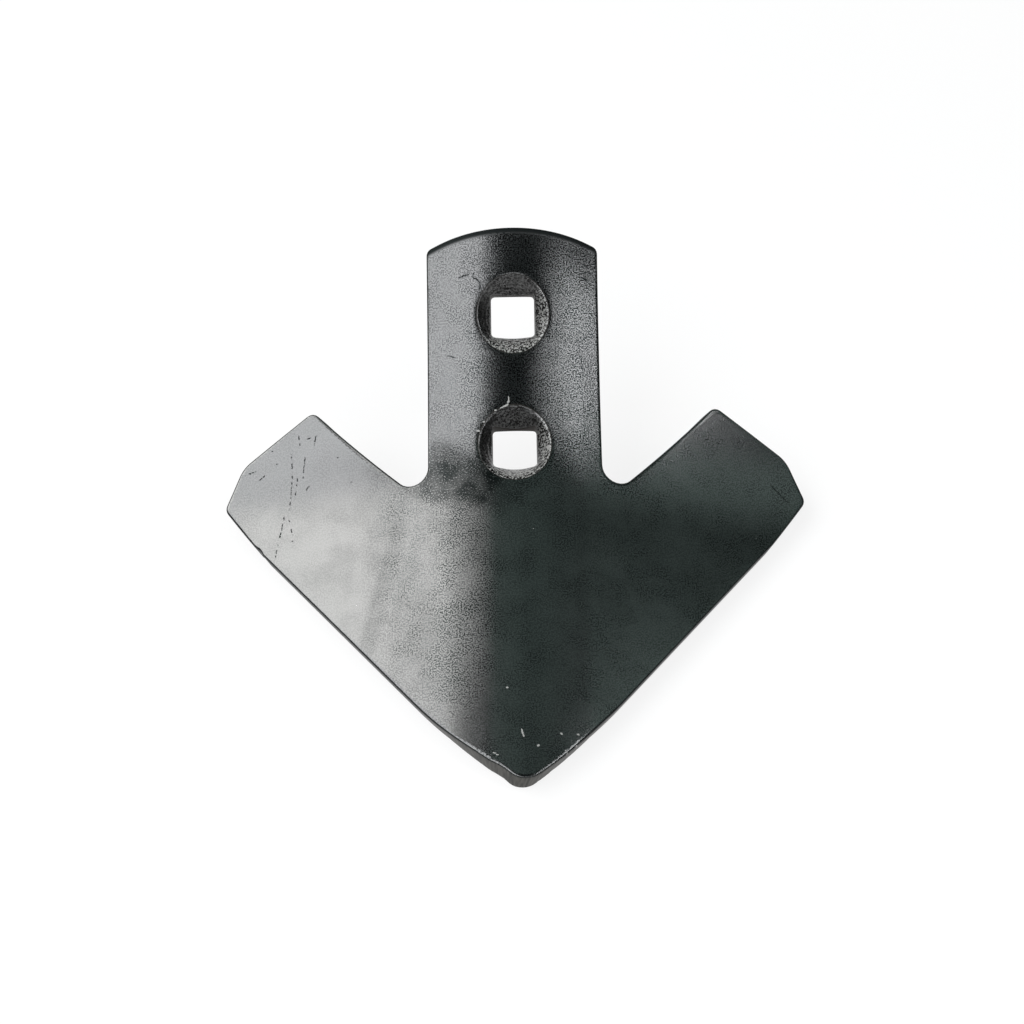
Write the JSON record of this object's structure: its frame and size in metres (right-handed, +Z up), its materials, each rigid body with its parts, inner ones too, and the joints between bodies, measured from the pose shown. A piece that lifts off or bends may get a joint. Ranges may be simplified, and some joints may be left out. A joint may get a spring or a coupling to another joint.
{
  "type": "cultivator sweep",
  "caption": "Arrow-shaped sweep for a field cultivator: a pressed steel plate with swept-back wings, a blunt nose and a curved tang with square countersunk bolt holes.",
  "frame": {"origin": "centre of the footprint's bounding box, on the ground that the nose and the cutting edges rest on", "axes": "+Z up, nose towards -Y, tang rising towards +Y, wings along X"},
  "size_m": [0.152, 0.1416, 0.0619],
  "materials": {
    "black_paint": "glossy black paint with a fine orange-peel grain over pressed steel, worn at the nose edge"
  },
  "bodies": {
    "root": {"sweep": "black_paint"}
  },
  "joints": []
}
